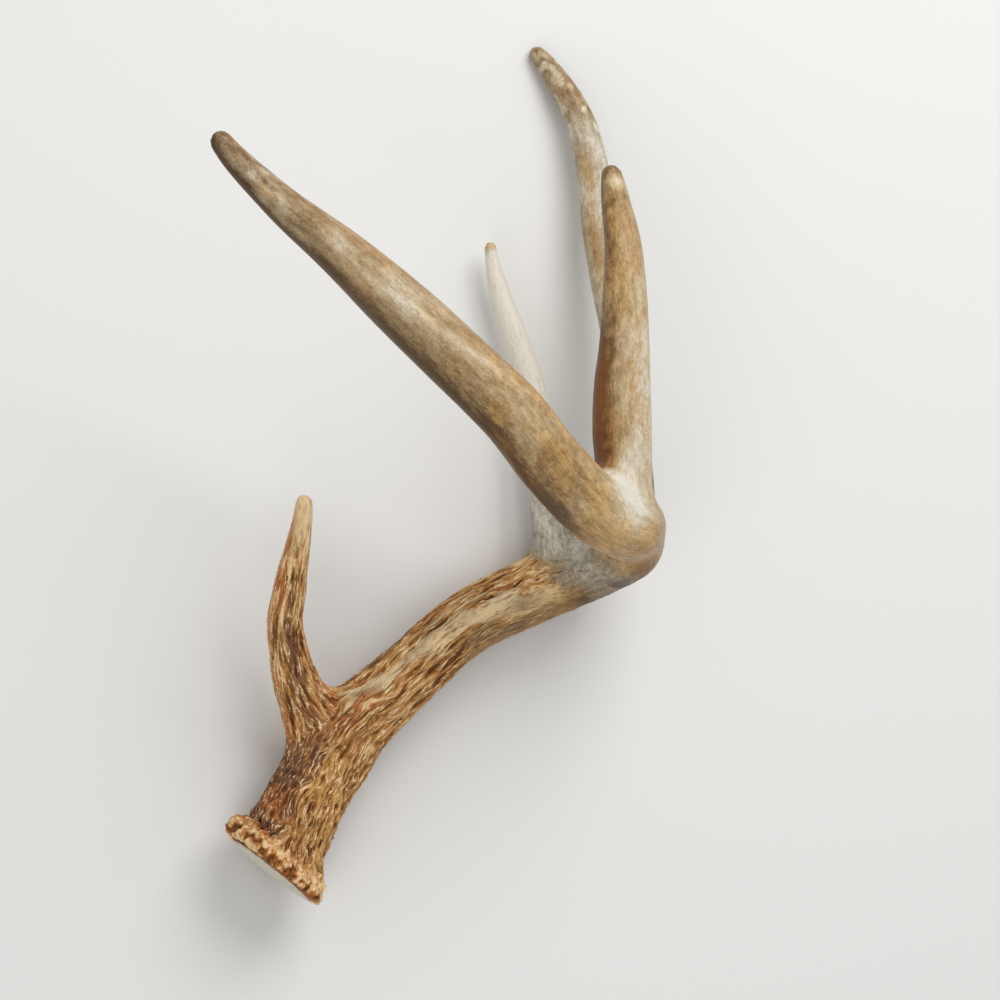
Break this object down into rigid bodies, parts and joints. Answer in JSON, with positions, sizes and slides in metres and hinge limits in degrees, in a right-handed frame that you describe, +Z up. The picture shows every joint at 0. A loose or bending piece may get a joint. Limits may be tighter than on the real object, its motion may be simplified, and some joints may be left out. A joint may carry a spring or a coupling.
{
  "type": "deer antler",
  "caption": "Shed left antler of a white-tailed deer: knobbly burr, curved main beam and forked tines, lying on its back.",
  "frame": {"origin": "centre of the bounding box's bottom face, on the surface that the antler lies on", "axes": "+Z up from the surface; +X along the longest extent, from the third tine's tip to the burr; +Y across, towards the outer side of the beam's bend"},
  "size_m": [0.4298, 0.2566, 0.2543],
  "materials": {
    "beam_bone": "ridged brown and cream antler bark above the burr, smooth tan and cream antler further out, low sheen",
    "brow_bone": "dark brown grooves between cream ridges, golden polished tip",
    "pale_tine_bone": "smooth ivory antler with a small brown tip",
    "tan_tine_bone": "smooth tan antler with brown stains and a worn tip, low sheen"
  },
  "bodies": {
    "root": {"main_beam": "beam_bone", "brow_tine": "brow_bone", "second_tine": "pale_tine_bone", "third_tine": "tan_tine_bone", "fourth_tine": "tan_tine_bone"}
  },
  "joints": []
}
